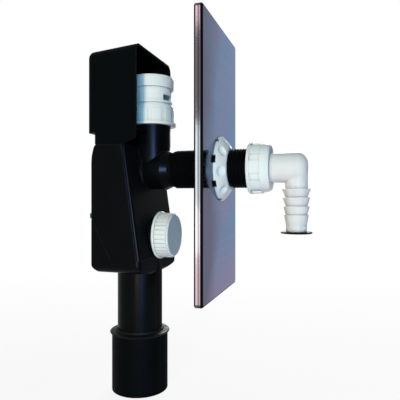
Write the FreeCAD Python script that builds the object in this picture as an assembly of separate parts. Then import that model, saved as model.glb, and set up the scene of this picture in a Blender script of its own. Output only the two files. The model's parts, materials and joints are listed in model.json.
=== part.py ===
import FreeCAD, Part
import math
import os

V = FreeCAD.Vector

# Washing machine standpipe trap, millimetres.
# Origin on the axis of the outlet spigot at its lower end. X points out of the wall, Z up.

# Outlet pipe and adapter
OUTLET_OD = 40.0
OUTLET_WALL = 2.0
OUTLET_INSERT = 34.0
OUTLET_SHOWN = 55.0
ADAPTER_OD = 50.0
ADAPTER_WALL = 2.0
ADAPTER_LENGTH = 50.0
ADAPTER_LEDGE = 3.0
SEAL_LIP = 1.7
SEAL_SKIRT = 5.0
SEAL_RISE = 4.6

# Tank
TANK_WIDTH = 83.0
TANK_HEIGHT = 112.0
TANK_WALL = 2.5
BACK_MARGIN = 6.9
BACK_CORNER = 16.0
BACK_EDGE = 3.5
SHOULDER_HEIGHT = 23.0
SHOULDER_DEPTH = 5.2
FRONT_TOP_X = 4.8
FRONT_KNEE_X = 19.0
TOE_X = 19.0
TOE_CORNER = 4.0
TOE_EDGE = 4.0
KNEE_HEIGHT = 14.5
BELLY_RISE = 4.8
SIDE_CORNER = 9.0
TOP_CORNER = 4.0
PANEL_THICK = 3.0
PANEL_EDGE = 2.3
CREASE_HEIGHT = 51.0
CREASE_LENGTH = 26.9
CREASE_DEPTH = 0.6
LUG_SIZE = 4.0
LUG_PROUD = 2.0

# Water seal inside the tank
WEIR_HEIGHT = 65.0
SEAL_DEPTH = 47.0
WEIR_GAP = 11.0
BELL_GAP = 10.0
INNER_WALL = 2.0

# Inlet pipe
INLET_DROP = 21.0
INLET_BORE = 26.0
INLET_OD = 34.6
INLET_LENGTH = 112.0
BEAD_OD = 36.6
BEAD_X = 7.0
BEAD_WIDTH = 2.5
COLLAR_OD = 36.0
COLLAR_X = 24.5
COLLAR_WIDTH = 1.5
COLLAR_CHAMFER = 5.6
THREAD_CORE = 30.8

# Air valve
VALVE_X = 11.7
STUB_OD = 33.0
STUB_BORE = 26.6
STUB_TOP = 33.0
VALVE_BASE = 18.0
NUT_LENGTH = 18.4
NUT_LIP = 2.4
NUT_FLANGE = 2.4
NUT_WALL = 1.15
NUT_PAD = 0.7
NUT_PADS = 10
NUT_PAD_ANGLE = 25.0
NUT_SHOULDER = 4.6
SKIRT_WALL = 1.0
SEAT_WALL = 2.0
VALVE_OD = 34.6
VALVE_BAND = 0.9
VALVE_BAND_HEIGHT = 2.0
SEAL_RING_HEIGHT = 4.0
VALVE_HEIGHT = 34.0
SEAT_HEIGHT = 31.0
AIR_TUBE_OD = 20.0
AIR_TUBE_WALL = 1.5
WINDOW_HEIGHT = 5.0
WINDOW_WIDTH = 18.0
WINDOW_DROP = 4.3
DIAPHRAGM_THICK = 1.2
CARRIER_THICK = 1.5
GUIDE_WALL = 1.6
GUIDE_LENGTH = 9.0
LIFT = 4.0
VALVE_CAP_OD = 39.2
VALVE_CAP_HEIGHT = 10.5
VALVE_CAP_TOP = 2.2
VALVE_CAP_EDGE = 2.0
VALVE_CAP_LAP = 1.3

# Hood
HOOD_FRONT_X = 14.4
HOOD_DEPTH = 48.9
HOOD_WIDTH = 78.6
HOOD_TAPER = 6.3
HOOD_HEIGHT = 82.3
HOOD_FALL = 1.6
HOOD_WALL = 2.0
HOOD_CORNER = 7.0
HOOD_BACK_CORNER = 5.0
HOOD_FLOOR = 10.0
HOOD_NOTCH = 8.2
HOOD_LIFT = 3.7

# Cover plate and hand nut
PLATE_X = 76.4
PLATE_WIDTH = 110.0
PLATE_HEIGHT = 229.2
PLATE_RISE = 7.0
PLATE_SHEET = 0.8
PLATE_HEM = 2.4
PLATE_LIP = 1.1
PLATE_DEPTH = 7.0
PLATE_CORNER = 3.0
PLATE_BEND = 2.0
PLATE_HOLE = 34.0
HAND_NUT_OD = 55.0
HAND_NUT_RIM = 1.2
HAND_NUT_NOSE = 35.6
HAND_NUT_LENGTH = 8.6
HAND_NUT_LIP = 3.0
SCALLOPS = 8
SCALLOP_TURN = 8.0
SCALLOP_R = 7.0
SCALLOP_DEPTH = 1.9
SCALLOP_INSET = 4.9
RIM_NOTCH_WIDTH = 6.8
RIM_NOTCH_LENGTH = 1.9
RIM_NOTCH_DEPTH = 5.0

# Union nut, washer and hose elbow
UNION_X = 101.4
UNION_RIM_OD = 43.2
UNION_RIM = 2.6
UNION_BODY_OD = 39.2
UNION_PAD = 1.6
UNION_PADS = 8
UNION_PAD_ANGLE = 27.0
UNION_PAD_LENGTH = 8.2
UNION_END = 2.6
WASHER_THICK = 2.0
WASHER_BORE = 23.0
ELBOW_FLANGE = 2.45
ELBOW_OD = 24.6
ELBOW_BORE = 19.6
ELBOW_END_R = 9.0
NOZZLE_X = 139.6
NOZZLE_OD = 18.2
NOZZLE_BORE = 13.0
FIRST_BARB = 17.0
BARB_PITCH = 7.1
BARB_ODS = (22.7, 21.5, 20.7, 19.5)
BARB_LAND = 0.7
NOZZLE_TIP_OD = 16.7
NOZZLE_TIP = 7.0
PLUG_OD = 25.8
PLUG_THICK = 1.4
PLUG_SHANK = 10.0

# Cleaning cap
CLEANING_DROP = 58.0
NECK_OD = 33.8
NECK_BORE = 28.0
CAP_OD = 37.8
CAP_RIB = 0.7
CAP_RIBS = 32
CAP_RIB_WIDTH = 2.8
CAP_FLANGE_OD = 42.0
CAP_FLANGE = 2.4
CAP_GRIP = 12.0
CAP_END = 2.2
CAP_EDGE = 1.0
CAP_WASHER = 2.0
CAP_STANDOFF = 0.5

# Clearances
SLIP = 0.3
SNUG = 0.1
FACE_GAP = 0.05

# Heights and radii that follow from the sizes above
belly = ADAPTER_LENGTH + OUTLET_SHOWN
tank_top = belly + TANK_HEIGHT
knee = belly + KNEE_HEIGHT
tank_half = TANK_WIDTH / 2
outlet_r = OUTLET_OD / 2
outlet_bore_r = outlet_r - OUTLET_WALL
tank_back = -outlet_r - BACK_MARGIN
weir = belly + WEIR_HEIGHT
inlet_z = tank_top - INLET_DROP
cleaning_z = inlet_z - CLEANING_DROP
thread_r = THREAD_CORE / 2
nut_bore_r = thread_r + SLIP
stub_r = STUB_OD / 2
valve_z = tank_top + VALVE_BASE
stub_top = tank_top + STUB_TOP
seat_z = valve_z + SEAT_HEIGHT
front_slope = (FRONT_KNEE_X - FRONT_TOP_X) / (tank_top - knee)
seam_step = PANEL_THICK * math.hypot(1.0, front_slope)
cap_low = cleaning_z - CAP_FLANGE_OD / 2
cap_back = FRONT_KNEE_X - front_slope * max(0.0, cap_low - knee) + CAP_STANDOFF
neck_x = cap_back + CAP_FLANGE + CAP_GRIP - CAP_END - CAP_WASHER - 2 * FACE_GAP

X_AXIS = V(1, 0, 0)
Z_AXIS = V(0, 0, 1)
inlet_axis = V(0, 0, inlet_z)
cleaning_axis = V(0, 0, cleaning_z)
valve_axis = V(VALVE_X, 0, 0)
nozzle_axis = V(NOZZLE_X, 0, 0)


def box(x0, x1, y0, y1, z0, z1):
    return Part.makeBox(x1 - x0, y1 - y0, z1 - z0, V(x0, y0, z0))


def rod(radius, start, end, origin, axis):
    return Part.makeCylinder(radius, end - start, origin + axis * start, axis)


def turned(profile, origin, axis):
    """Solid of revolution from (radius, distance along the axis) corners."""
    corners = [origin + axis * along + V(0, radius, 0) for radius, along in profile]
    outline = Part.makePolygon(corners + corners[:1])
    return Part.Face(outline).revolve(origin, axis, 360)


def repeated(shape, origin, axis, count, start=0.0):
    return [shape.rotated(origin, axis, start + 360.0 * i / count) for i in range(count)]


def sector(inner, outer, start, end, angle, origin, axis):
    """Part of a ring that spans an angle, centred on the Y direction."""
    ring = turned([(inner, start), (outer, start), (outer, end), (inner, end)], origin, axis)
    reach = outer * 2
    side = math.tan(math.radians(angle / 2)) * reach
    across = axis.cross(V(0, 1, 0))
    low = origin + axis * (start - 1)
    corners = [low, low + V(0, reach, 0) + across * side, low + V(0, reach, 0) - across * side]
    wedge = Part.Face(Part.makePolygon(corners + corners[:1])).extrude(axis * (end - start + 2))
    return ring.common(wedge)


def slab_xz(points, half):
    """Polygon in the XZ plane drawn out to both sides."""
    corners = [V(x, -half, z) for x, z in points]
    return Part.Face(Part.makePolygon(corners + corners[:1])).extrude(V(0, 2 * half, 0))


def edges_along(shape, direction, accept):
    """Straight edges in one direction whose middle point is accepted."""
    found = []
    for edge in shape.Edges:
        if edge.Curve.TypeId != "Part::GeomLine":
            continue
        middle = edge.CenterOfMass
        if edge.tangentAt(edge.FirstParameter).cross(direction).Length < 1e-6 and accept(middle):
            found.append(edge)
    return found


# Tank envelope seen from the front: straight sides, bowed bottom, rounded corners
def front_envelope(inset):
    half = tank_half - inset
    bottom = belly + inset
    top = tank_top - inset
    rise = BELLY_RISE * (half / tank_half) ** 2
    x = -200.0
    left_low = V(x, -half, bottom + rise)
    right_low = V(x, half, bottom + rise)
    bow = Part.Arc(left_low, V(x, 0, bottom), right_low).toShape()
    sides = Part.makePolygon([right_low, V(x, half, top), V(x, -half, top), left_low])
    solid = Part.Face(Part.Wire([bow] + sides.Edges)).extrude(V(400, 0, 0))
    middle = (bottom + top) / 2
    low = edges_along(solid, X_AXIS, lambda p: p.z < middle)
    solid = solid.makeFillet(SIDE_CORNER - inset, low)
    high = edges_along(solid, X_AXIS, lambda p: p.z > top - 1e-3 and abs(p.y) > half - 1e-3)
    return solid.makeFillet(TOP_CORNER - inset, high)


# Tank envelope seen from the side: rounded back, shoulder, slanted front that ends at the seam
def side_envelope(inset):
    back = tank_back + inset
    low = belly - 0.5 + inset
    top = tank_top - inset
    corner = BACK_CORNER - inset
    toe = TOE_X - inset
    round_toe = TOE_CORNER - inset
    seam_low = FRONT_KNEE_X - seam_step
    seam_top = seam_low - front_slope * (top - knee)
    shoulder = tank_top - SHOULDER_HEIGHT
    bend = math.sqrt(0.5)
    arc_back = Part.Arc(
        V(back, 0, low + corner),
        V(back + corner * (1 - bend), 0, low + corner * (1 - bend)),
        V(back + corner, 0, low),
    )
    arc_toe = Part.Arc(
        V(toe - round_toe, 0, low),
        V(toe - round_toe * (1 - bend), 0, low + round_toe * (1 - bend)),
        V(toe, 0, low + round_toe),
    )
    half_depth = SHOULDER_DEPTH * 0.3
    arc_shoulder = Part.Arc(
        V(back + SHOULDER_DEPTH, 0, top),
        V(back + half_depth, 0, (top + shoulder) / 2),
        V(back, 0, shoulder),
    )
    knee_points = [V(toe, 0, low + round_toe)]
    if inset == 0:
        knee_points.append(V(FRONT_KNEE_X, 0, knee))
    knee_points += [V(seam_low, 0, knee), V(seam_top, 0, top), V(back + SHOULDER_DEPTH, 0, top)]
    edges = [arc_back.toShape()]
    edges.append(Part.makeLine(V(back + corner, 0, low), V(toe - round_toe, 0, low)))
    edges.append(arc_toe.toShape())
    edges += Part.makePolygon(knee_points).Edges
    edges.append(arc_shoulder.toShape())
    edges.append(Part.makeLine(V(back, 0, shoulder), V(back, 0, low + corner)))
    face = Part.Face(Part.Wire(edges))
    face.translate(V(0, -200, 0))
    return face.extrude(V(0, 400, 0))


# Tank envelope seen from above: rounded upright edges at the back and at the toe
def top_envelope(inset):
    half = tank_half - inset
    back = tank_back + inset
    solid = box(back, TOE_X - inset, -half, half, belly - 50, tank_top + 50)
    solid = solid.makeFillet(BACK_EDGE - inset, edges_along(solid, Z_AXIS, lambda p: p.x < 0))
    return solid.makeFillet(TOE_EDGE - inset, edges_along(solid, Z_AXIS, lambda p: p.x > 0))


tank_front_view = front_envelope(0.0)
tank_block = side_envelope(0.0).common(tank_front_view).common(top_envelope(0.0))
tank_room = side_envelope(TANK_WALL).common(front_envelope(TANK_WALL)).common(top_envelope(TANK_WALL))


# Rear tub with the outlet pipe and the walls of the water seal
def make_trap_body():
    duct = outlet_bore_r + INNER_WALL
    bell = duct + BELL_GAP
    bell_out = bell + INNER_WALL
    roof = weir + WEIR_GAP
    dip = weir - SEAL_DEPTH
    far = TOE_X
    walls = []
    for side in (-1, 1):
        near_y, far_y = sorted((side * outlet_bore_r, side * duct))
        walls.append(box(tank_back, far, near_y, far_y, belly, weir))
        near_y, far_y = sorted((side * bell, side * bell_out))
        walls.append(box(tank_back, far, near_y, far_y, dip, roof + INNER_WALL))
    walls.append(box(tank_back, far, -bell_out, bell_out, roof, roof + INNER_WALL))
    inside = walls[0].multiFuse(walls[1:]).common(tank_block)
    pipe_low = ADAPTER_LENGTH - OUTLET_INSERT
    pipe = turned([
        (0, pipe_low), (outlet_r, pipe_low), (outlet_r, belly + TANK_WALL * 2),
        (FRONT_KNEE_X, knee), (0, knee),
    ], V(0, 0, 0), Z_AXIS)
    floor = pipe.cut(tank_room)
    shell = tank_block.cut(tank_room).multiFuse([inside, floor])
    shell = shell.cut(rod(outlet_bore_r, pipe_low - 1, belly + TANK_WALL * 2, V(0, 0, 0), Z_AXIS))
    crease_top = belly + CREASE_HEIGHT
    crease = [(tank_back - 5, crease_top), (tank_back, crease_top), (tank_back + CREASE_LENGTH, belly),
              (tank_back - 5, belly)]
    outside = slab_xz(crease, TANK_WIDTH)
    shell = shell.cut(outside.cut(slab_xz(crease, tank_half - CREASE_DEPTH)))
    lugs = []
    for side in (-1, 1):
        middle = side * (tank_half - LUG_SIZE * 2)
        lugs.append(box(tank_back - LUG_PROUD, tank_back + TANK_WALL / 2,
                        middle - LUG_SIZE, middle + LUG_SIZE,
                        crease_top - LUG_SIZE / 2, crease_top + LUG_SIZE / 2))
    return shell.multiFuse(lugs).removeSplitter()


# Front moulding with the inlet pipe, the valve stub and the cleaning neck
def make_trap_front():
    seam_low = FRONT_KNEE_X - seam_step
    seam_top = FRONT_TOP_X - seam_step
    strip = [(FRONT_KNEE_X, knee), (FRONT_TOP_X, tank_top), (seam_top, tank_top), (seam_low, knee)]
    panel = slab_xz(strip, TANK_WIDTH).common(tank_front_view)
    long_edges = []
    for edge in panel.Edges:
        middle = edge.CenterOfMass
        on_side = abs(abs(middle.y) - tank_half) < 0.01
        front_x = FRONT_KNEE_X - front_slope * (middle.z - knee)
        if on_side and abs(middle.x - front_x) < 0.01 and edge.Length > TANK_HEIGHT / 2:
            long_edges.append(edge)
    panel = panel.makeFillet(PANEL_EDGE, long_edges)
    inlet_r = INLET_OD / 2
    bead_r = BEAD_OD / 2
    collar_r = COLLAR_OD / 2
    collar_end = COLLAR_X + COLLAR_WIDTH
    pipe_start = seam_top
    inlet = turned([
        (0, pipe_start), (inlet_r, pipe_start),
        (inlet_r, BEAD_X), (bead_r, BEAD_X), (bead_r, BEAD_X + BEAD_WIDTH), (inlet_r, BEAD_X + BEAD_WIDTH),
        (inlet_r, COLLAR_X), (collar_r, COLLAR_X), (collar_r, collar_end),
        (thread_r, collar_end + COLLAR_CHAMFER), (thread_r, INLET_LENGTH), (0, INLET_LENGTH),
    ], inlet_axis, X_AXIS)
    stub = rod(stub_r, inlet_z, stub_top, valve_axis, Z_AXIS)
    neck = rod(NECK_OD / 2, 0, neck_x, cleaning_axis, X_AXIS)
    outside = panel.multiFuse([inlet, stub, neck]).cut(tank_block)
    bores = [
        rod(INLET_BORE / 2, -50, INLET_LENGTH + 1, inlet_axis, X_AXIS),
        rod(STUB_BORE / 2, inlet_z, stub_top + 1, valve_axis, Z_AXIS),
        rod(NECK_BORE / 2, -50, neck_x + 1, cleaning_axis, X_AXIS),
    ]
    return outside.cut(bores[0].multiFuse(bores[1:])).removeSplitter()


def make_outlet_adapter():
    outer = ADAPTER_OD / 2
    inner = outer - ADAPTER_WALL
    ledge = ADAPTER_LENGTH - OUTLET_INSERT
    slope = inner - outlet_bore_r
    return turned([
        (inner, 0), (outer, 0), (outer, ADAPTER_LENGTH), (inner, ADAPTER_LENGTH), (inner, ledge),
        (outlet_bore_r, ledge), (outlet_bore_r, ledge - ADAPTER_LEDGE),
        (inner, ledge - ADAPTER_LEDGE - slope),
    ], V(0, 0, 0), Z_AXIS)


def make_adapter_seal():
    bore = outlet_r + SNUG
    sleeve = ADAPTER_OD / 2
    inner = sleeve - ADAPTER_WALL - SNUG
    lip = sleeve + SEAL_LIP
    base = ADAPTER_LENGTH
    return turned([
        (bore, base - SEAL_SKIRT), (inner, base - SEAL_SKIRT), (inner, base), (sleeve, base),
        (lip - 0.3, base + 0.16 * SEAL_RISE), (lip, base + 0.3 * SEAL_RISE),
        (lip - 0.5, base + 0.44 * SEAL_RISE),
        (outlet_r + SEAL_LIP, base + 0.6 * SEAL_RISE), (outlet_r + 0.7 * SEAL_LIP, base + SEAL_RISE),
        (bore, base + SEAL_RISE),
    ], V(0, 0, 0), Z_AXIS)


# Hood: a drawn box, open to the front, with a floor that is notched round the stub
def hood_form(inset, low, front, back):
    def half_at(x):
        return HOOD_WIDTH / 2 - inset - HOOD_TAPER * (HOOD_FRONT_X - x) / HOOD_DEPTH

    def top_at(x):
        return tank_top + HOOD_HEIGHT - inset - HOOD_FALL * (HOOD_FRONT_X - x) / HOOD_DEPTH

    form = Part.makeWedge(-half_at(back), back, low, low, -half_at(front),
                          half_at(back), front, top_at(back), top_at(front), half_at(front))
    form.rotate(V(0, 0, 0), Z_AXIS, -90)
    lengthwise = [e for e in form.Edges if e.BoundBox.XLength > 1 and e.CenterOfMass.z > low + 1]
    return form.makeFillet(HOOD_CORNER - inset, lengthwise)


def rounded_back(form, back, low, radius):
    rim = [e for e in form.Edges if abs(e.BoundBox.XMax - back) < 1e-3 and e.CenterOfMass.z > low + 1]
    return form.makeFillet(radius, rim)


def make_valve_hood():
    back = HOOD_FRONT_X - HOOD_DEPTH
    floor_low = tank_top + HOOD_FLOOR
    floor_top = floor_low + HOOD_WALL
    past = HOOD_FRONT_X + 20
    wide = HOOD_WIDTH
    outer = rounded_back(hood_form(0.0, tank_top, HOOD_FRONT_X, back), back, tank_top, HOOD_BACK_CORNER)
    room_back = back + HOOD_WALL
    room = rounded_back(hood_form(HOOD_WALL, floor_top, past, room_back), room_back, floor_top,
                        HOOD_BACK_CORNER - HOOD_WALL)
    heel_wall = back + HOOD_NOTCH + HOOD_WALL
    under = hood_form(HOOD_WALL, tank_top - 1, past, heel_wall)
    under = under.common(box(heel_wall, past, -wide, wide, tank_top - 1, floor_low))
    heel = box(back - 1, back + HOOD_NOTCH, -wide, wide, tank_top - 1, floor_low)
    toe_top = tank_top + HOOD_LIFT
    toe = slab_xz([(FRONT_TOP_X, tank_top), (HOOD_FRONT_X, toe_top), (past, toe_top),
                   (past, tank_top - 1), (FRONT_TOP_X, tank_top - 1)], wide)
    hole = rod(stub_r + SLIP, floor_low - 1, floor_top + 1, valve_axis, Z_AXIS)
    return outer.cut(room.multiFuse([under, heel, toe, hole]))


def make_valve_nut():
    inner = stub_r + SLIP + SKIRT_WALL + 0.15
    outer = inner + NUT_WALL
    flange = outer + NUT_FLANGE
    top = valve_z + NUT_LENGTH
    body = turned([
        (stub_r + SLIP, valve_z), (flange, valve_z), (flange, valve_z + NUT_LIP), (outer, valve_z + NUT_LIP),
        (outer, top - 1.6), (outer - 0.8, top), (inner, top), (inner, valve_z + NUT_LIP),
        (stub_r + SLIP, valve_z + NUT_LIP),
    ], valve_axis, Z_AXIS)
    pad = sector(outer - 0.4, outer + NUT_PAD, valve_z + NUT_LIP, top - NUT_SHOULDER, NUT_PAD_ANGLE,
                 valve_axis, Z_AXIS)
    return body.multiFuse(repeated(pad, valve_axis, Z_AXIS, NUT_PADS)).removeSplitter()


def make_valve_seal_ring():
    inner = stub_r + SNUG
    outer = stub_r + SLIP + SKIRT_WALL
    low = valve_z + NUT_LIP + FACE_GAP
    return turned([
        (inner, low), (outer, low), (outer, low + SEAL_RING_HEIGHT / 2),
        (outer - 0.5, low + SEAL_RING_HEIGHT), (inner, low + SEAL_RING_HEIGHT),
    ], valve_axis, Z_AXIS)


def make_valve_body():
    socket = stub_r + SLIP
    skirt = socket + SKIRT_WALL
    outer = VALVE_OD / 2
    inner = outer - SEAT_WALL
    tube = AIR_TUBE_OD / 2
    tube_bore = tube - AIR_TUBE_WALL
    skirt_low = valve_z + NUT_LIP + SEAL_RING_HEIGHT + 2 * FACE_GAP
    stop = stub_top + SNUG
    nut_top = valve_z + NUT_LENGTH
    web = nut_top + 1.0
    band_top = web + VALVE_BAND_HEIGHT
    top = valve_z + VALVE_HEIGHT
    body = turned([
        (socket, skirt_low), (skirt, skirt_low), (skirt, nut_top - 0.6), (outer, nut_top - 0.6), (outer, web),
        (outer + VALVE_BAND, web), (outer + VALVE_BAND, band_top), (outer, band_top), (outer, top),
        (inner, top), (inner, seat_z), (inner - SEAT_WALL, seat_z), (inner - SEAT_WALL, seat_z - 1.0),
        (inner, seat_z - 1.0 - SEAT_WALL), (inner, web + SEAT_WALL), (tube, web + SEAT_WALL), (tube, seat_z),
        (tube_bore, seat_z), (tube_bore, web), (STUB_BORE / 2, web), (STUB_BORE / 2, stop), (socket, stop),
    ], valve_axis, Z_AXIS)
    window_top = seat_z - WINDOW_DROP
    across = box(VALVE_X - outer - 1, VALVE_X + outer + 1, -WINDOW_WIDTH / 2, WINDOW_WIDTH / 2,
                 window_top - WINDOW_HEIGHT, window_top)
    windows = across.cut(rod(inner - SEAT_WALL, window_top - 20, window_top + 1, valve_axis, Z_AXIS))
    return body.cut(windows)


def make_valve_diaphragm():
    tube_bore = AIR_TUBE_OD / 2 - AIR_TUBE_WALL
    inner = VALVE_OD / 2 - SEAT_WALL
    low = seat_z + FACE_GAP
    return turned([
        (tube_bore + 0.4, low), (inner - 0.4, low), (inner - 0.4, low + DIAPHRAGM_THICK),
        (tube_bore + 0.4, low + DIAPHRAGM_THICK),
    ], valve_axis, Z_AXIS)


def make_valve_disc():
    tube_bore = AIR_TUBE_OD / 2 - AIR_TUBE_WALL
    guide = tube_bore - SLIP
    rim = VALVE_OD / 2 - SEAT_WALL - 0.9
    low = seat_z + FACE_GAP + DIAPHRAGM_THICK
    ring = turned([
        (guide - GUIDE_WALL, low), (rim, low),
        (rim, low + CARRIER_THICK), (guide - GUIDE_WALL, low + CARRIER_THICK),
    ], valve_axis, Z_AXIS)
    leg = sector(guide - GUIDE_WALL, guide, low - GUIDE_LENGTH, low, 50.0, valve_axis, Z_AXIS)
    return ring.multiFuse(repeated(leg, valve_axis, Z_AXIS, 3)).removeSplitter()


def make_valve_cap():
    outer = VALVE_CAP_OD / 2
    socket = VALVE_OD / 2 + SNUG
    room = socket - VALVE_CAP_LAP
    rim = valve_z + VALVE_HEIGHT + FACE_GAP
    low = rim - VALVE_CAP_LAP
    top = low + VALVE_CAP_HEIGHT
    roof = top - VALVE_CAP_TOP
    stop = seat_z + FACE_GAP + DIAPHRAGM_THICK + CARRIER_THICK + LIFT + SLIP
    stop_r = AIR_TUBE_OD / 2
    return turned([
        (socket, low), (outer, low), (outer, top - VALVE_CAP_EDGE), (outer - 0.3 * VALVE_CAP_EDGE, top - 0.3),
        (outer - VALVE_CAP_EDGE, top), (0, top), (0, roof), (stop_r - 2, roof), (stop_r - 2, stop),
        (stop_r, stop), (stop_r, roof), (room, roof), (room, rim), (socket, rim),
    ], valve_axis, Z_AXIS)


# Cover plate: a folded sheet with hemmed edges
def make_cover_plate():
    centre = inlet_z + PLATE_RISE
    half_w = PLATE_WIDTH / 2
    half_h = PLATE_HEIGHT / 2
    back = PLATE_X - PLATE_DEPTH
    pan = box(back, PLATE_X, -half_w, half_w, centre - half_h, centre + half_h)
    pan = pan.makeFillet(PLATE_CORNER, edges_along(pan, X_AXIS, lambda p: True))
    face = [e for e in pan.Edges if abs(e.CenterOfMass.x - PLATE_X) < 1e-6]
    pan = pan.makeFillet(PLATE_BEND, face)
    lip = [e for e in pan.Edges if abs(e.CenterOfMass.x - back) < 1e-6]
    pan = pan.makeFillet(PLATE_LIP, lip)
    room = box(back - 1, PLATE_X - PLATE_SHEET, PLATE_HEM - half_w, half_w - PLATE_HEM,
               centre - half_h + PLATE_HEM, centre + half_h - PLATE_HEM)
    room = room.makeFillet(PLATE_CORNER - PLATE_HEM, edges_along(room, X_AXIS, lambda p: True))
    hole = rod(PLATE_HOLE / 2, back - 1, PLATE_X + 1, inlet_axis, X_AXIS)
    return pan.cut(room.fuse(hole))


# Hand nut: a slice of a ball, hollow at the plate, with finger dimples and slots in the rim
def make_plate_backnut():
    rim_r = HAND_NUT_OD / 2
    nose_r = HAND_NUT_NOSE / 2
    ring_r = rim_r - SCALLOP_INSET
    hollow_r = rim_r - HAND_NUT_LIP
    rise = HAND_NUT_LENGTH - HAND_NUT_RIM
    below = (rim_r ** 2 - nose_r ** 2 - rise ** 2) / (2 * rise)
    ball_r = math.hypot(rim_r, below)
    ball_x = PLATE_X + HAND_NUT_RIM - below
    blank = rod(rim_r, PLATE_X, PLATE_X + HAND_NUT_LENGTH, inlet_axis, X_AXIS)
    body = blank.common(Part.makeSphere(ball_r, V(ball_x, 0, inlet_z)))
    reach = (ball_r + SCALLOP_R - SCALLOP_DEPTH) / ball_r
    along = math.sqrt(ball_r ** 2 - ring_r ** 2)
    scallop = Part.makeSphere(SCALLOP_R, V(ball_x + along * reach, -ring_r * reach, inlet_z))
    notch = box(PLATE_X - 1, PLATE_X + RIM_NOTCH_LENGTH, -rim_r - 1, -rim_r + RIM_NOTCH_DEPTH,
                inlet_z - RIM_NOTCH_WIDTH / 2, inlet_z + RIM_NOTCH_WIDTH / 2)
    cuts = [rod(nut_bore_r, PLATE_X - 1, PLATE_X + HAND_NUT_LENGTH + 1, inlet_axis, X_AXIS)]
    cuts.append(rod(hollow_r, PLATE_X - 1, PLATE_X + RIM_NOTCH_LENGTH, inlet_axis, X_AXIS))
    cuts += repeated(scallop, inlet_axis, X_AXIS, SCALLOPS, SCALLOP_TURN)
    cuts += repeated(notch, inlet_axis, X_AXIS, SCALLOPS, SCALLOP_TURN + 180.0 / SCALLOPS)
    return body.cut(cuts[0].multiFuse(cuts[1:]))


def make_union_nut():
    rim_r = UNION_RIM_OD / 2
    body_r = UNION_BODY_OD / 2
    pad_start = UNION_X + UNION_RIM
    pad_end = pad_start + UNION_PAD_LENGTH
    wall = INLET_LENGTH + WASHER_THICK + ELBOW_FLANGE + 3 * FACE_GAP
    end = wall + UNION_END
    hole = ELBOW_OD / 2 + SLIP
    body = turned([
        (nut_bore_r, UNION_X), (rim_r - 0.6, UNION_X), (rim_r, UNION_X + 0.6), (rim_r, pad_start),
        (body_r, pad_start), (body_r, pad_end), (body_r + UNION_PAD * 0.6, pad_end),
        (body_r, end - 1.8), (body_r - 1.2, end), (hole, end), (hole, wall), (nut_bore_r, wall),
    ], inlet_axis, X_AXIS)
    pad = sector(body_r - 0.5, body_r + UNION_PAD, pad_start, pad_end, UNION_PAD_ANGLE, inlet_axis, X_AXIS)
    return body.multiFuse(repeated(pad, inlet_axis, X_AXIS, UNION_PADS)).removeSplitter()


def make_elbow_washer():
    return turned([
        (WASHER_BORE / 2, INLET_LENGTH), (thread_r - 0.2, INLET_LENGTH),
        (thread_r - 0.2, INLET_LENGTH + WASHER_THICK), (WASHER_BORE / 2, INLET_LENGTH + WASHER_THICK),
    ], inlet_axis, X_AXIS)


nozzle_end = inlet_z - FIRST_BARB - BARB_PITCH * (len(BARB_ODS) - 1) - BARB_PITCH - NOZZLE_TIP


def make_hose_elbow():
    outer = ELBOW_OD / 2
    pipe = NOZZLE_OD / 2
    start = INLET_LENGTH + WASHER_THICK + FACE_GAP
    end = NOZZLE_X + pipe
    arm = turned([
        (0, start), (thread_r, start), (thread_r, start + ELBOW_FLANGE), (outer, start + ELBOW_FLANGE),
        (outer, end), (0, end),
    ], inlet_axis, X_AXIS)
    end_edge = [e for e in arm.Edges if e.Closed and abs(e.BoundBox.XMin - end) < 1e-3]
    arm = arm.makeFillet(ELBOW_END_R, end_edge)
    profile = [(0, inlet_z), (pipe, inlet_z)]
    for i, barb_od in enumerate(BARB_ODS):
        edge = inlet_z - FIRST_BARB - BARB_PITCH * i
        neck = pipe - 0.15 * i
        profile += [(neck, edge), (barb_od / 2, edge - 0.4), (barb_od / 2, edge - 0.4 - BARB_LAND)]
        profile.append((neck + 0.1, edge - BARB_PITCH + 0.6))
    tip_r = NOZZLE_TIP_OD / 2
    profile += [(tip_r, nozzle_end + NOZZLE_TIP * 0.7), (tip_r, nozzle_end + 0.6), (tip_r - 0.6, nozzle_end),
                (0, nozzle_end)]
    nozzle = turned(profile, nozzle_axis, Z_AXIS)
    bore_r = ELBOW_BORE / 2
    arm_bore = rod(bore_r, start - 1, NOZZLE_X, inlet_axis, X_AXIS)
    turn = Part.makeSphere(NOZZLE_BORE / 2 + 0.2, V(NOZZLE_X, 0, inlet_z))
    nozzle_bore = rod(NOZZLE_BORE / 2, nozzle_end - 1, inlet_z, nozzle_axis, Z_AXIS)
    return arm.fuse(nozzle).cut(arm_bore.multiFuse([turn, nozzle_bore]))


def make_nozzle_plug():
    plate_r = PLUG_OD / 2
    shank_r = NOZZLE_BORE / 2 - SNUG
    low = nozzle_end - PLUG_THICK
    return turned([
        (0, low), (plate_r - 0.6, low), (plate_r, low + 0.6), (plate_r, nozzle_end - 0.6),
        (plate_r - 0.6, nozzle_end), (shank_r, nozzle_end), (shank_r, nozzle_end + PLUG_SHANK - 1),
        (shank_r - 1, nozzle_end + PLUG_SHANK), (0, nozzle_end + PLUG_SHANK),
    ], nozzle_axis, Z_AXIS)


def make_cap_washer():
    start = neck_x + FACE_GAP
    return turned([
        (NECK_BORE / 2, start), (NECK_OD / 2, start),
        (NECK_OD / 2, start + CAP_WASHER), (NECK_BORE / 2, start + CAP_WASHER),
    ], cleaning_axis, X_AXIS)


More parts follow.
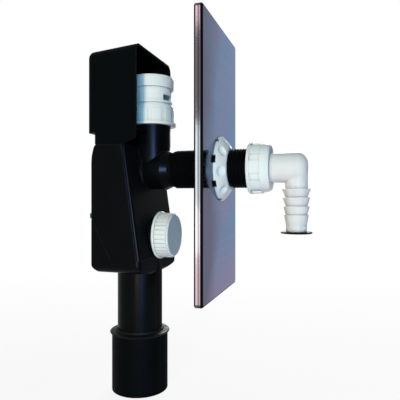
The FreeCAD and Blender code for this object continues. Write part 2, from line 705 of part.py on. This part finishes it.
def make_cleaning_cap():
    inner = NECK_OD / 2 + SLIP
    outer = CAP_OD / 2
    flange = CAP_FLANGE_OD / 2
    roof = neck_x + 2 * FACE_GAP + CAP_WASHER
    face = roof + CAP_END
    grip = face - CAP_GRIP
    low = grip - CAP_FLANGE
    body = turned([
        (inner, low), (flange - 0.5, low), (flange, low + 0.5), (flange, grip - 0.5), (flange - 0.5, grip),
        (outer, grip), (outer, face - CAP_EDGE), (outer - CAP_EDGE, face), (0, face), (0, roof), (inner, roof),
    ], cleaning_axis, X_AXIS)
    rib = box(grip - 0.4, face - CAP_EDGE - 0.6, outer - 1.0, outer + CAP_RIB,
              cleaning_z - CAP_RIB_WIDTH / 2, cleaning_z + CAP_RIB_WIDTH / 2)
    return body.multiFuse(repeated(rib, cleaning_axis, X_AXIS, CAP_RIBS)).removeSplitter()


pieces = {
    "trap_body": make_trap_body(),
    "trap_front": make_trap_front(),
    "outlet_adapter": make_outlet_adapter(),
    "adapter_seal": make_adapter_seal(),
    "valve_hood": make_valve_hood(),
    "valve_nut": make_valve_nut(),
    "valve_seal_ring": make_valve_seal_ring(),
    "valve_body": make_valve_body(),
    "valve_diaphragm": make_valve_diaphragm(),
    "valve_disc": make_valve_disc(),
    "valve_cap": make_valve_cap(),
    "cover_plate": make_cover_plate(),
    "plate_backnut": make_plate_backnut(),
    "union_nut": make_union_nut(),
    "elbow_washer": make_elbow_washer(),
    "hose_elbow": make_hose_elbow(),
    "nozzle_plug": make_nozzle_plug(),
    "cleaning_cap": make_cleaning_cap(),
    "cap_washer": make_cap_washer(),
}

os.makedirs("parts", exist_ok=True)
for name, shape in pieces.items():
    shape.exportStep("parts/" + name + ".step")
    solids = len(shape.Solids)
    print(name, shape.isValid(), solids, round(shape.Volume, 1), shape.BoundBox)
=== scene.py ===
import bmesh
import bpy
import json
import math
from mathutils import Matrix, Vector


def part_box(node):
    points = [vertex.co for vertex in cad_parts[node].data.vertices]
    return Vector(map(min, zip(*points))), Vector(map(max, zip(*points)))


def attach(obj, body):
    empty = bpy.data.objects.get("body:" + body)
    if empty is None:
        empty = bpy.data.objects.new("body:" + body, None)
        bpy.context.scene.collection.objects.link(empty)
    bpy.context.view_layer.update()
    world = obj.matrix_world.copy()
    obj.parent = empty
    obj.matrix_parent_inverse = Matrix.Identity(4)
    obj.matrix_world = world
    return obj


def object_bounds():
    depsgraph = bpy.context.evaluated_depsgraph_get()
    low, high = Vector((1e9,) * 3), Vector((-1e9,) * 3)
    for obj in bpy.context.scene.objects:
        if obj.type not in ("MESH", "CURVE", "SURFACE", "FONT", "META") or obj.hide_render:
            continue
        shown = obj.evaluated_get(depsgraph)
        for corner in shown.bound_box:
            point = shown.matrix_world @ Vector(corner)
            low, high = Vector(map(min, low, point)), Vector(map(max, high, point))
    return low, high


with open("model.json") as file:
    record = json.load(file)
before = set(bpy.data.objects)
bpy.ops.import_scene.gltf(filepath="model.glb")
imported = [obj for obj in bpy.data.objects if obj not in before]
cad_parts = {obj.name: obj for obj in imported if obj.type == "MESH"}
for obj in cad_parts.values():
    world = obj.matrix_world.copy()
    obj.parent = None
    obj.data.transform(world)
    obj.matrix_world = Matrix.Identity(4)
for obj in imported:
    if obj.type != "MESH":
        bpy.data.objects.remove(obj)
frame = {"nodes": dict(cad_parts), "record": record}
cad_low, cad_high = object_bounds()
scene = bpy.context.scene
scene.view_settings.view_transform = "Standard"

# Metres, in the frame of the part: Z up along the outlet, X out of the wall, Y along the wall.
MM = 0.001

# Viewpoint: level, and turned about the vertical; angles in degrees
IMAGE_SIZE = 400
FOCAL_PIXELS = 450
HORIZON_ROW = 196
SENSOR = 36.0
CAMERA_PLACE = (0.1750, -0.3738, 0.1727)
CAMERA_TILT = 90
CAMERA_TURN = 17.5

# Thread of the inlet pipe, a one inch pipe thread: diameters, then the form of the ridge
THREAD_CORE = 30.8 * MM
THREAD_CREST = 33.25 * MM
THREAD_PITCH = 2.309 * MM
THREAD_START = 33.6 * MM
THREAD_FLAT = 0.3 * MM
THREAD_SINK = 0.1 * MM
THREAD_HALF_FOOT = 0.46 * THREAD_PITCH
THREAD_STEPS = 72
THREAD_FADE_TURNS = 0.5
THREAD_SHARP_ANGLE = 25
THREAD_MARGIN = 0.3 * MM

# Rounding of the edges, how much of a rubbed edge's colour shows, and how far the painted shade reaches
# into a groove
BLACK_EDGE = 0.5 * MM
WHITE_EDGE = 0.4 * MM
RUBBER_EDGE = 0.3 * MM
EDGE_SHARE = 0.5
CREVICE_SHADE_REACH = 3.0 * MM
BEVEL_SAMPLES = 6
SHELTER_SAMPLES = 8

# Black plastic and rubber
BLACK_DEEP = (0.0012, 0.0018, 0.0020)
BLACK_CLOUDED = (0.0026, 0.0034, 0.0038)
RUBBER_RUBBED = (0.020, 0.020, 0.021)
RUBBER_SHINE = 0.04

# White plastic, and the light that it lets through
WHITE_POLISHED = (0.86, 0.865, 0.86)
WHITE_GLOW = 0.06
WHITE_GLOW_REACH = (1.2 * MM, 1.1 * MM, 1.0 * MM)

# Roughness of the moulded faces that look straight out of the wall
OUTWARD_ROUGHNESS = 0.7

# Stainless sheet, seen from the front: brush-mark tones painted darker and bluer than bare steel, as a
# painted reflection of dim surroundings, and the colours of further painted reflections
STROKES_PER_METRE = (700.0, 12.0, 700.0)
STROKE_DARK = (0.155, 0.185, 0.235)
STROKE_PALE = (0.265, 0.295, 0.355)
STEEL_LILAC = (0.25, 0.22, 0.29)
STEEL_PINK_REFLECTION = (0.165, 0.140, 0.162)
STEEL_REFLECTION_LINE = (0.040, 0.036, 0.042)
STEEL_FOLD_REFLECTION = (0.006, 0.006, 0.007)
LINE_SHARE = 0.85
FOLD_ROUGHNESS = 0.65

# Stainless sheet, seen at a slant: tints of its slanting reflection, painted in the colours of the
# surroundings it would reflect
SLANT_BLUE = (0.42, 0.605, 0.81)
SLANT_LILAC = (0.62, 0.56, 0.70)
SLANT_PINK_REFLECTION = (0.48, 0.53, 0.64)

# Lamps that light everything but the cover plate, in which they would glare: watts, size, place, colour
SURFACE_LAMPS = {
    "key": (9.8, (0.22, 0.22), (0.11, -1.27, 0.38), (1.0, 0.82, 0.44)),
    "fill": (5.4, (0.30, 0.30), (0.41, -0.96, 0.25), (0.23, 0.64, 0.98)),
    "back": (13.0, (0.60, 0.60), (-0.20, 1.15, 0.55), (0.96, 0.98, 1.0)),
}

# Lamps that only show as reflections, in everything but the cover plate
MIRRORED_LAMPS = {
    "window": (29.0, (0.12, 0.22), (0.55, -0.86, 0.175), (0.26, 0.44, 1.0)),
    "glow": (1.9, (0.10, 0.08), (0.11, -0.60, 0.05), (1.0, 0.62, 0.36)),
}

# Pale cards that only show as reflections in the cover plate
PLATE_CARDS = {
    "card": (1.15, (0.17, 0.42), (-0.22, -1.01, 0.18), (0.74, 1.0, 0.92)),
    "high_card": (0.42, (0.17, 0.17), (-0.22, -1.01, 0.77), (1.0, 0.74, 0.71)),
    "low_card": (0.165, (0.08, 0.16), (-0.024, -0.339, 0.080), (1.0, 0.80, 0.74)),
}
AIM = Vector((0.05, 0.0, 0.17))

# Room and floor: the floor is a little less than white near the part, so that the shadow shows
WHITE = (1.0, 1.0, 1.0)
ROOM_LIGHT = (0.03, 0.05, 0.08)
FLOOR_COLOUR = (0.90, 0.75, 0.73)
FLOOR_ROUGHNESS = 0.8
FLOOR_HALF = 4.0
FLOOR_NEAR = 0.88
FLOOR_FAR = 1.0
FLOOR_NEAR_REACH = 0.1
FLOOR_FAR_REACH = 0.7

# The range that holds most of a noise, and the places of the colours among the sockets of a mix node
NOISE_LOW = 0.3
NOISE_HIGH = 0.7
MIX_FIRST = 6
MIX_SECOND = 7
MIX_RESULT = 2


# Shader building blocks
def new_material(name):
    material = bpy.data.materials.new(name)
    material.use_nodes = True
    tree = material.node_tree
    return material, tree, tree.nodes["Principled BSDF"]


def noise(tree, per_metre, detail, stretch=(1.0, 1.0, 1.0)):
    """Noise fixed to the piece, with so many features in a metre."""
    coords = tree.nodes.new("ShaderNodeTexCoord")
    mapping = tree.nodes.new("ShaderNodeMapping")
    texture = tree.nodes.new("ShaderNodeTexNoise")
    mapping.inputs["Scale"].default_value = stretch
    texture.inputs["Scale"].default_value = per_metre
    texture.inputs["Detail"].default_value = detail
    tree.links.new(coords.outputs["Object"], mapping.inputs["Vector"])
    tree.links.new(mapping.outputs["Vector"], texture.inputs["Vector"])
    return texture.outputs["Fac"]


def between(tree, value, low, high, start=NOISE_LOW, end=NOISE_HIGH):
    """A number that runs from low to high as the value runs from start to end."""
    node = tree.nodes.new("ShaderNodeMapRange")
    node.inputs["From Min"].default_value = start
    node.inputs["From Max"].default_value = end
    node.inputs["To Min"].default_value = low
    node.inputs["To Max"].default_value = high
    tree.links.new(value, node.inputs["Value"])
    return node.outputs["Result"]


def mixed(tree, value, first, second):
    """A colour that runs from first to second; either is a colour or a socket."""
    node = tree.nodes.new("ShaderNodeMix")
    node.data_type = "RGBA"
    tree.links.new(value, node.inputs["Factor"])
    for socket, colour in ((node.inputs[MIX_FIRST], first), (node.inputs[MIX_SECOND], second)):
        if isinstance(colour, tuple):
            socket.default_value = (*colour, 1.0)
        else:
            tree.links.new(colour, socket)
    return node.outputs[MIX_RESULT]


def calculated(tree, operation, first, second):
    """The result of one operation; each side is a number or a socket."""
    node = tree.nodes.new("ShaderNodeMath")
    node.operation = operation
    for socket, value in zip(node.inputs, (first, second)):
        if isinstance(value, float):
            socket.default_value = value
        else:
            tree.links.new(value, socket)
    return node.outputs["Value"]


def softened_edges(tree, radius):
    """The rounded normal of the edges, and a mask that is 1 along them."""
    bevel = tree.nodes.new("ShaderNodeBevel")
    bevel.samples = BEVEL_SAMPLES
    bevel.inputs["Radius"].default_value = radius
    surface = tree.nodes.new("ShaderNodeNewGeometry")
    agreement = tree.nodes.new("ShaderNodeVectorMath")
    agreement.operation = "DOT_PRODUCT"
    tree.links.new(bevel.outputs["Normal"], agreement.inputs[0])
    tree.links.new(surface.outputs["Normal"], agreement.inputs[1])
    mask = between(tree, agreement.outputs["Value"], low=0.0, high=1.0, start=0.99, end=0.86)
    return bevel.outputs["Normal"], mask


def bumped(tree, shader, height, strength, distance, normal=None):
    """Gives the shader a bumpy surface, on top of another normal where there is one."""
    bump = tree.nodes.new("ShaderNodeBump")
    bump.inputs["Strength"].default_value = strength
    bump.inputs["Distance"].default_value = distance
    tree.links.new(height, bump.inputs["Height"])
    if normal is not None:
        tree.links.new(normal, bump.inputs["Normal"])
    tree.links.new(bump.outputs["Normal"], shader.inputs["Normal"])
    return bump.outputs["Normal"]


def crevice_painted_shade(tree, reach):
    """A mask that is 1 deep in corners and grooves, where shade is painted."""
    shelter = tree.nodes.new("ShaderNodeAmbientOcclusion")
    shelter.samples = SHELTER_SAMPLES
    shelter.inputs["Distance"].default_value = reach
    return between(tree, shelter.outputs["AO"], low=1.0, high=0.0, start=0.25, end=0.95)


def facing_out(tree):
    """How squarely the surface looks out of the wall: 1 straight out, 0 sideways, -1 into the wall."""
    surface = tree.nodes.new("ShaderNodeNewGeometry")
    split = tree.nodes.new("ShaderNodeSeparateXYZ")
    tree.links.new(surface.outputs["Normal"], split.inputs["Vector"])
    return split.outputs["X"]


def outward_faces(tree):
    """The roughness that the mould leaves on faces that look out of the wall."""
    return between(tree, facing_out(tree), low=0.0, high=OUTWARD_ROUGHNESS, start=0.90, end=0.97)


def along(tree, axis):
    """The place on the piece along one axis, from 0 at its low side to 1 at its high side."""
    coords = tree.nodes.new("ShaderNodeTexCoord")
    split = tree.nodes.new("ShaderNodeSeparateXYZ")
    tree.links.new(coords.outputs["Generated"], split.inputs["Vector"])
    return split.outputs[axis]


def folds(tree):
    """A mask that is 1 where the sheet bends, and along the hem at its back, where a near-black
    reflection is painted and the roughness rises.
    """
    facing = calculated(tree, "POWER", facing_out(tree), 2.0)
    sideways = calculated(tree, "SUBTRACT", 1.0, facing)
    slanting = calculated(tree, "MULTIPLY", facing, sideways)
    rounded = between(tree, slanting, low=0.0, high=1.0, start=0.015, end=0.04)
    hem = between(tree, along(tree, "X"), low=1.0, high=0.0, start=0.16, end=0.24)
    return calculated(tree, "MAXIMUM", rounded, hem)


def dark_reflection_line(tree):
    """A mask that is 1 along the middle of the folded edge of the sheet, where a dark reflection line is
    painted.
    """
    depth = along(tree, "X")
    rising = between(tree, depth, low=0.0, high=1.0, start=0.34, end=0.50)
    falling = between(tree, depth, low=1.0, high=0.0, start=0.58, end=0.74)
    return calculated(tree, "MINIMUM", rising, falling)


# Materials
def black_plastic(name, smooth, rough, rubbed_and_highlit, shine):
    """Moulded polypropylene: faint clouding, fine grain, paler edges that are partly rubbed wear and
    partly painted highlights.
    """
    material, tree, shader = new_material(name)
    normal, edges = softened_edges(tree, BLACK_EDGE)
    cloud = mixed(tree, noise(tree, per_metre=45.0, detail=4.0), BLACK_DEEP, BLACK_CLOUDED)
    wear_and_highlight = between(tree, noise(tree, per_metre=160.0, detail=3.0), low=0.15, high=1.0)
    # Paler edges: partly rubbed wear, partly painted highlights along the edges
    colour = mixed(tree, calculated(tree, "MULTIPLY", edges, wear_and_highlight), cloud, rubbed_and_highlit)
    tree.links.new(colour, shader.inputs["Base Color"])
    grain = between(tree, noise(tree, per_metre=90.0, detail=4.0), low=smooth, high=rough)
    tree.links.new(calculated(tree, "MAXIMUM", grain, outward_faces(tree)), shader.inputs["Roughness"])
    shader.inputs["Specular IOR Level"].default_value = shine
    skin = noise(tree, per_metre=2600.0, detail=2.0)
    bumped(tree, shader, skin, strength=0.10, distance=0.06 * MM, normal=normal)
    return material


def white_plastic(name, dark, pale, crevice_shade_colour, shine):
    """White polypropylene: uneven tone, soft moulded skin, polished edges, painted shade in the grooves.
    """
    material, tree, shader = new_material(name)
    normal, edges = softened_edges(tree, WHITE_EDGE)
    tone = mixed(tree, noise(tree, per_metre=70.0, detail=4.0), dark, pale)
    polished = mixed(tree, calculated(tree, "MULTIPLY", edges, EDGE_SHARE), tone, WHITE_POLISHED)
    # Painted shade: darker grey deep in the grooves and corners
    colour = mixed(tree, crevice_painted_shade(tree, CREVICE_SHADE_REACH), polished, crevice_shade_colour)
    tree.links.new(colour, shader.inputs["Base Color"])
    rough = between(tree, noise(tree, per_metre=120.0, detail=4.0), low=0.20, high=0.32)
    polish = between(tree, edges, low=0.0, high=0.06, start=0.0, end=1.0)
    smoothed = calculated(tree, "SUBTRACT", rough, polish)
    tree.links.new(calculated(tree, "MAXIMUM", smoothed, outward_faces(tree)), shader.inputs["Roughness"])
    shader.inputs["Specular IOR Level"].default_value = shine
    shader.inputs["Subsurface Weight"].default_value = WHITE_GLOW
    shader.inputs["Subsurface Radius"].default_value = WHITE_GLOW_REACH
    waves = noise(tree, per_metre=110.0, detail=1.0)
    waved = bumped(tree, shader, waves, strength=0.12, distance=0.12 * MM, normal=normal)
    skin = noise(tree, per_metre=2200.0, detail=2.0)
    bumped(tree, shader, skin, strength=0.06, distance=0.04 * MM, normal=waved)
    return material


def rubber(name, dark, pale):
    """Dull rubber with a dusty bloom and a grainy skin."""
    material, tree, shader = new_material(name)
    normal, edges = softened_edges(tree, RUBBER_EDGE)
    bloom = mixed(tree, noise(tree, per_metre=220.0, detail=5.0), dark, pale)
    colour = mixed(tree, calculated(tree, "MULTIPLY", edges, EDGE_SHARE), bloom, RUBBER_RUBBED)
    tree.links.new(colour, shader.inputs["Base Color"])
    rough = between(tree, noise(tree, per_metre=300.0, detail=3.0), low=0.42, high=0.62)
    tree.links.new(rough, shader.inputs["Roughness"])
    shader.inputs["Specular IOR Level"].default_value = RUBBER_SHINE
    skin = noise(tree, per_metre=1500.0, detail=3.0)
    bumped(tree, shader, skin, strength=0.15, distance=0.08 * MM, normal=normal)
    return material


def brushed_steel(name):
    """Stainless sheet: level brush marks and lilac patches, with painted reflections: a pinkish side, a
    lilac low end, a dark line along the folded edge, near-black folds.
    """
    material, tree, shader = new_material(name)
    strokes = noise(tree, per_metre=1.0, detail=5.0, stretch=STROKES_PER_METRE)
    brushed = mixed(tree, strokes, STROKE_DARK, STROKE_PALE)
    # Lilac: random patches of tone, and a painted lilac reflection toward the low end of the sheet
    low_end_painted_reflection = between(tree, along(tree, "Z"), low=0.9, high=0.0, start=0.0, end=0.3)
    patches = between(tree, noise(tree, per_metre=16.0, detail=2.0), low=0.0, high=0.6)
    lilac = calculated(tree, "MAXIMUM", patches, low_end_painted_reflection)
    # Painted reflection: one side of the sheet turns pinkish, with a wandering border
    wander = between(tree, noise(tree, per_metre=11.0, detail=1.0), low=-0.2, high=0.2)
    across = calculated(tree, "ADD", along(tree, "Y"), wander)
    bluish = between(tree, across, low=0.0, high=1.0, start=0.10, end=0.45)
    tone = mixed(tree, bluish, STEEL_PINK_REFLECTION, mixed(tree, lilac, brushed, STEEL_LILAC))
    # Painted reflection: a dark line along the middle of the folded edge
    reflection_lined = mixed(tree, calculated(tree, "MULTIPLY", dark_reflection_line(tree), LINE_SHARE), tone, STEEL_REFLECTION_LINE)
    # Painted reflection: the bends and the back hem are near black
    bends = folds(tree)
    tree.links.new(mixed(tree, bends, reflection_lined, STEEL_FOLD_REFLECTION), shader.inputs["Base Color"])
    shader.inputs["Metallic"].default_value = 1.0
    # Painted reflection: the slanting reflection is tinted blue, lilac and pinkish like the surroundings
    slant = mixed(tree, bluish, SLANT_PINK_REFLECTION, mixed(tree, lilac, SLANT_BLUE, SLANT_LILAC))
    tree.links.new(slant, shader.inputs["Specular Tint"])
    dulled = calculated(tree, "MULTIPLY", bends, FOLD_ROUGHNESS)
    rough = calculated(tree, "MAXIMUM", between(tree, strokes, low=0.07, high=0.15), dulled)
    tree.links.new(rough, shader.inputs["Roughness"])
    waves = noise(tree, per_metre=14.0, detail=1.0)
    rippled = bumped(tree, shader, waves, strength=0.05, distance=0.3 * MM)
    bumped(tree, shader, strokes, strength=0.04, distance=0.03 * MM, normal=rippled)
    return material


slot_materials = {
    "black_plastic": black_plastic("black_plastic", smooth=0.26, rough=0.34,
                                   rubbed_and_highlit=(0.040, 0.044, 0.048), shine=0.03),
    "white_plastic": white_plastic("white_plastic", dark=(0.76, 0.775, 0.77), pale=(0.83, 0.835, 0.825),
                                   crevice_shade_colour=(0.56, 0.58, 0.60), shine=0.03),
    "black_rubber": rubber("black_rubber", dark=(0.0045, 0.0045, 0.005), pale=(0.008, 0.008, 0.0085)),
    "stainless": brushed_steel("stainless"),
}
dull_black = black_plastic("dull_black_plastic", smooth=0.44, rough=0.56,
                           rubbed_and_highlit=(0.012, 0.014, 0.015), shine=0.012)
thread_black = black_plastic("thread_black_plastic", smooth=0.40, rough=0.50,
                             rubbed_and_highlit=(0.005, 0.006, 0.0065), shine=0.006)
# A darker, pinker copy of the white plastic, which paints pinkish shade over the hose elbow
pink_shaded_white = white_plastic("warm_white_plastic", dark=(0.71, 0.68, 0.68), pale=(0.78, 0.75, 0.745),
                           crevice_shade_colour=(0.46, 0.42, 0.46), shine=0.03)
# A paler copy of the white plastic with less shine, which paints extra light on the cleaning cap
lit_dull_white = white_plastic("dull_white_plastic", dark=(0.79, 0.80, 0.80), pale=(0.86, 0.865, 0.86),
                           crevice_shade_colour=(0.60, 0.60, 0.61), shine=0.008)
plum_rubber = rubber("plum_rubber", dark=(0.0075, 0.0040, 0.0070), pale=(0.014, 0.008, 0.013))
node_materials = {
    "valve_hood": dull_black,
    "outlet_adapter": dull_black,
    "hose_elbow": pink_shaded_white,
    "cleaning_cap": lit_dull_white,
    "nozzle_plug": plum_rubber,
}

for part in frame["record"]["subparts"]:
    name = part["node"]
    finish = node_materials.get(name, slot_materials[part["material_slot"]])
    for holder in frame["nodes"][name].material_slots:
        holder.material = finish


# Inlet thread: a ridge wound round the pipe wherever no nut covers it
def thread_run(name, start, end, axis_z):
    """One stretch of the ridge along X, which rises at its start and fades out at its end."""
    core = THREAD_CORE / 2
    crest = THREAD_CREST / 2
    foot = core - THREAD_SINK
    half_flat = THREAD_FLAT / 2
    steps = int((end - start - 2 * THREAD_HALF_FOOT) / THREAD_PITCH * THREAD_STEPS)
    fade = THREAD_FADE_TURNS * THREAD_STEPS
    mesh = bmesh.new()
    previous = None
    for step in range(steps + 1):
        angle = 2 * math.pi * step / THREAD_STEPS
        middle = start + THREAD_HALF_FOOT + THREAD_PITCH * step / THREAD_STEPS
        rise = min(1.0, step / fade, (steps - step) / fade)
        tip = core + (crest - core) * rise
        profile = ((foot, -THREAD_HALF_FOOT), (tip, -half_flat),
                   (tip, half_flat), (foot, THREAD_HALF_FOOT))
        section = []
        for radius, offset in profile:
            place = (middle + offset, radius * math.cos(angle), axis_z + radius * math.sin(angle))
            section.append(mesh.verts.new(place))
        if previous is None:
            mesh.faces.new(section)
        else:
            for corner in range(len(section)):
                after = (corner + 1) % len(section)
                mesh.faces.new((previous[corner], previous[after], section[after], section[corner]))
        previous = section
    mesh.faces.new(reversed(previous))
    bmesh.ops.recalc_face_normals(mesh, faces=mesh.faces)
    data = bpy.data.meshes.new(name)
    mesh.to_mesh(data)
    mesh.free()
    data.shade_smooth()
    data.set_sharp_from_angle(angle=math.radians(THREAD_SHARP_ANGLE))
    data.materials.append(thread_black)
    piece = bpy.data.objects.new(name, data)
    scene.collection.objects.link(piece)
    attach(piece, "trap")


washer_low, washer_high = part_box("elbow_washer")
hand_nut_low, hand_nut_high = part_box("plate_backnut")
union_low, union_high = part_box("union_nut")
inlet_z = (washer_low.z + washer_high.z) / 2
thread_run("inlet_thread_wall", THREAD_START, hand_nut_low.x - THREAD_MARGIN, inlet_z)
thread_run("inlet_thread_room", hand_nut_high.x + THREAD_MARGIN, union_low.x - THREAD_MARGIN, inlet_z)


# Floor and room
def seen_white(tree):
    """1 for the rays of the camera, and for those that shiny and clear things send on."""
    path = tree.nodes.new("ShaderNodeLightPath")
    seen = path.outputs["Is Camera Ray"]
    mirrored = path.outputs["Is Glossy Ray"]
    passed_on = path.outputs["Is Transmission Ray"]
    return calculated(tree, "MAXIMUM", seen, calculated(tree, "MAXIMUM", mirrored, passed_on))


def make_floor():
    """A wide pale floor that looks almost white and keeps the shadow of the part."""
    sides = ((-1, -1), (1, -1), (1, 1), (-1, 1))
    corners = [(x * FLOOR_HALF, y * FLOOR_HALF, cad_low.z) for x, y in sides]
    data = bpy.data.meshes.new("floor")
    data.from_pydata(corners, [], [(0, 1, 2, 3)])
    floor = bpy.data.objects.new("floor", data)
    scene.collection.objects.link(floor)
    material, tree, shader = new_material("floor")
    shader.inputs["Base Color"].default_value = (*FLOOR_COLOUR, 1.0)
    shader.inputs["Roughness"].default_value = FLOOR_ROUGHNESS
    white = tree.nodes.new("ShaderNodeEmission")
    coords = tree.nodes.new("ShaderNodeTexCoord")
    distance = tree.nodes.new("ShaderNodeVectorMath")
    distance.operation = "LENGTH"
    tree.links.new(coords.outputs["Object"], distance.inputs[0])
    whiteness = between(tree, distance.outputs["Value"], low=FLOOR_NEAR, high=FLOOR_FAR,
                        start=FLOOR_NEAR_REACH, end=FLOOR_FAR_REACH)
    blend = tree.nodes.new("ShaderNodeMixShader")
    amount, lit, unlit = blend.inputs
    tree.links.new(calculated(tree, "MULTIPLY", seen_white(tree), whiteness), amount)
    tree.links.new(shader.outputs["BSDF"], lit)
    tree.links.new(white.outputs["Emission"], unlit)
    tree.links.new(blend.outputs["Shader"], tree.nodes["Material Output"].inputs["Surface"])
    data.materials.append(material)


def make_room():
    """A dim room that lights the part faintly and is seen as white."""
    world = bpy.data.worlds.new("room")
    world.use_nodes = True
    scene.world = world
    tree = world.node_tree
    background = tree.nodes["Background"]
    tree.links.new(mixed(tree, seen_white(tree), ROOM_LIGHT, WHITE), background.inputs["Color"])


def lit_group(name, plate_state):
    """The pieces that a lamp lights: the cover plate alone, or all but the plate."""
    group = bpy.data.collections.new(name)
    group.objects.link(frame["nodes"]["cover_plate"])
    group.collection_objects[0].light_linking.link_state = plate_state
    return group


def make_lamp(name, power, size, place, colour, lit):
    """A soft rectangular lamp that faces the part and lights a group of pieces."""
    data = bpy.data.lights.new(name, "AREA")
    data.energy = power
    data.color = colour
    data.shape = "RECTANGLE"
    data.size, data.size_y = size
    lamp = bpy.data.objects.new(name, data)
    lamp.location = place
    lamp.rotation_euler = (AIM - Vector(place)).to_track_quat("-Z", "Y").to_euler()
    lamp.visible_camera = False
    lamp.light_linking.receiver_collection = lit
    scene.collection.objects.link(lamp)
    return lamp


def make_camera():
    """The viewpoint of the photograph."""
    lens = bpy.data.cameras.new("camera")
    lens.sensor_width = SENSOR
    lens.lens = SENSOR * FOCAL_PIXELS / IMAGE_SIZE
    lens.shift_y = (HORIZON_ROW - IMAGE_SIZE / 2) / IMAGE_SIZE
    camera = bpy.data.objects.new("camera", lens)
    camera.location = CAMERA_PLACE
    camera.rotation_euler = (math.radians(CAMERA_TILT), 0, math.radians(CAMERA_TURN))
    scene.collection.objects.link(camera)
    scene.camera = camera


make_floor()
make_room()
make_camera()
plate_alone = lit_group("plate_alone", "INCLUDE")
all_but_plate = lit_group("all_but_plate", "EXCLUDE")
for name, settings in SURFACE_LAMPS.items():
    make_lamp(name, *settings, all_but_plate)
# The key stands near the viewpoint, where it would draw a warm streak down every pipe
bpy.data.objects["key"].visible_glossy = False
for name, settings in MIRRORED_LAMPS.items():
    make_lamp(name, *settings, all_but_plate).visible_diffuse = False
for name, settings in PLATE_CARDS.items():
    make_lamp(name, *settings, plate_alone).visible_diffuse = False
